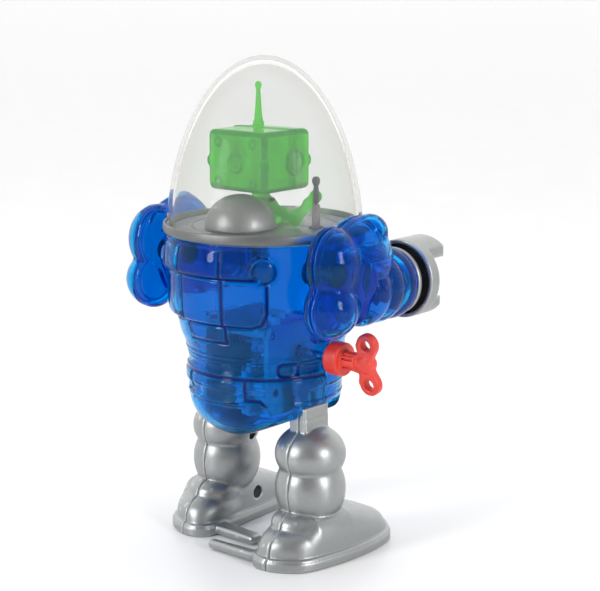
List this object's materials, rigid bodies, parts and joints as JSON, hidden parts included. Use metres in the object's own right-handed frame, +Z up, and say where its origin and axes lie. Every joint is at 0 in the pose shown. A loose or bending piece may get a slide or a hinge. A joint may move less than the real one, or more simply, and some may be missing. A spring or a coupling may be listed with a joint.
{
  "type": "wind-up walking robot toy",
  "caption": "Wind-up walking robot: clear blue torso with clockwork, egg dome over a green pilot, silver legs, ribbed arms with claws, red key.",
  "frame": {"origin": "middle of the footprint box of the whole robot, on the floor", "axes": "+Z up, -Y the way the robot faces, +X its left side (the key is on its right, -X)"},
  "size_m": [0.0702, 0.0522, 0.115],
  "materials": {
    "clear_plastic": "clear, slightly milky moulded plastic",
    "blue_plastic": "clear royal blue moulded plastic, glossy",
    "green_plastic": "clear green moulded plastic, glossy",
    "silver_plastic": "silver-grey metallic plastic, satin",
    "red_plastic": "red moulded plastic, satin",
    "dark_plastic": "dark grey plastic",
    "brown_plastic": "grey-brown plastic",
    "teal_plastic": "teal moulded plastic",
    "white_plastic": "off-white acetal",
    "brass": "stamped brass",
    "steel": "bright steel"
  },
  "bodies": {
    "robot_body": {"torso_back_shell": "blue_plastic", "torso_front_shell": "blue_plastic", "deck": "silver_plastic", "dome": "clear_plastic", "seat": "silver_plastic", "stick_post": "brown_plastic", "stick_lever": "dark_plastic", "pilot_body": "green_plastic", "right_pilot_arm": "green_plastic", "left_pilot_arm": "green_plastic", "neck_pin": "dark_plastic", "right_gearbox_plate": "teal_plastic", "left_gearbox_plate": "teal_plastic", "right_guide_pin": "steel", "left_guide_pin": "steel"},
    "pilot_head": {"head_back": "green_plastic", "head_front": "green_plastic", "antenna": "green_plastic"},
    "key": {"winding_key": "red_plastic", "key_arbor": "steel", "main_gear": "white_plastic", "mainspring": "steel"},
    "second_axle": {"second_wheel": "white_plastic", "second_arbor": "steel"},
    "crank_axle": {"crank_wheel": "white_plastic", "crankshaft": "steel", "right_crank": "white_plastic", "left_crank": "white_plastic"},
    "escape_axle": {"escape_wheel": "brass", "escape_arbor": "steel"},
    "pallet_axle": {"pallet": "brass", "pallet_arbor": "steel"},
    "right_leg": {"right_leg_outer_half": "silver_plastic", "right_leg_inner_half": "silver_plastic", "right_foot_screw": "steel", "right_knee_screw": "steel"},
    "right_arm": {"right_shoulder_outer_shell": "blue_plastic", "right_shoulder_inner_shell": "blue_plastic", "right_shoulder_peg": "dark_plastic", "right_forearm": "blue_plastic", "right_wrist_disc": "silver_plastic"},
    "right_claw": {"right_claw": "silver_plastic"},
    "left_leg": {"left_leg_outer_half": "silver_plastic", "left_leg_inner_half": "silver_plastic", "left_foot_screw": "steel", "left_knee_screw": "steel"},
    "left_arm": {"left_shoulder_outer_shell": "blue_plastic", "left_shoulder_inner_shell": "blue_plastic", "left_shoulder_peg": "dark_plastic", "left_forearm": "blue_plastic", "left_wrist_disc": "silver_plastic"},
    "left_claw": {"left_claw": "silver_plastic"}
  },
  "joints": [
    {"name": "key_wind", "type": "hinge", "parent": "robot_body", "child": "key", "pos_m": [-0.02, 0.00228, 0.0475], "axis": [1, 0, 0], "continuous": true},
    {"name": "second_turn", "type": "hinge", "parent": "robot_body", "child": "second_axle", "pos_m": [0, 0.0105, 0.03897], "axis": [1, 0, 0], "continuous": true},
    {"name": "crank_turn", "type": "hinge", "parent": "robot_body", "child": "crank_axle", "pos_m": [0, 0.00178, 0.0362], "axis": [1, 0, 0], "continuous": true},
    {"name": "escape_turn", "type": "hinge", "parent": "robot_body", "child": "escape_axle", "pos_m": [0, -0.00612, 0.0381], "axis": [1, 0, 0], "continuous": true},
    {"name": "pallet_rock", "type": "hinge", "parent": "robot_body", "child": "pallet_axle", "pos_m": [0, -0.00772, 0.0451], "axis": [1, 0, 0], "range_deg": [-4, 4]},
    {"name": "right_leg_stride", "type": "slide", "parent": "robot_body", "child": "right_leg", "axis": [0, 1, 0], "range_m": [-0.0025, 0]},
    {"name": "left_leg_stride", "type": "slide", "parent": "robot_body", "child": "left_leg", "axis": [0, 1, 0], "range_m": [0, 0.0025]},
    {"name": "head_turn", "type": "hinge", "parent": "robot_body", "child": "pilot_head", "pos_m": [0, 0.00413, 0.0844], "axis": [0, 0, 1], "range_deg": [-30, 30]},
    {"name": "right_shoulder_pitch", "type": "hinge", "parent": "robot_body", "child": "right_arm", "pos_m": [-0.024, 0.00828, 0.068], "axis": [1, 0, 0], "range_deg": [-5, 5]},
    {"name": "right_claw_turn", "type": "hinge", "parent": "right_arm", "child": "right_claw", "pos_m": [-0.026, -0.01572, 0.0638], "axis": [0, 1, 0], "continuous": true},
    {"name": "left_shoulder_pitch", "type": "hinge", "parent": "robot_body", "child": "left_arm", "pos_m": [0.024, 0.00828, 0.068], "axis": [1, 0, 0], "range_deg": [-5, 5]},
    {"name": "left_claw_turn", "type": "hinge", "parent": "left_arm", "child": "left_claw", "pos_m": [0.026, -0.01572, 0.0638], "axis": [0, 1, 0], "continuous": true}
  ],
  "couplings": [
    {"joint": "second_turn", "follows": "key_wind", "ratio": -3.3333},
    {"joint": "crank_turn", "follows": "key_wind", "ratio": 6.6667},
    {"joint": "escape_turn", "follows": "key_wind", "ratio": -19.048},
    {"joint": "left_leg_stride", "follows": "right_leg_stride", "ratio": -1}
  ]
}
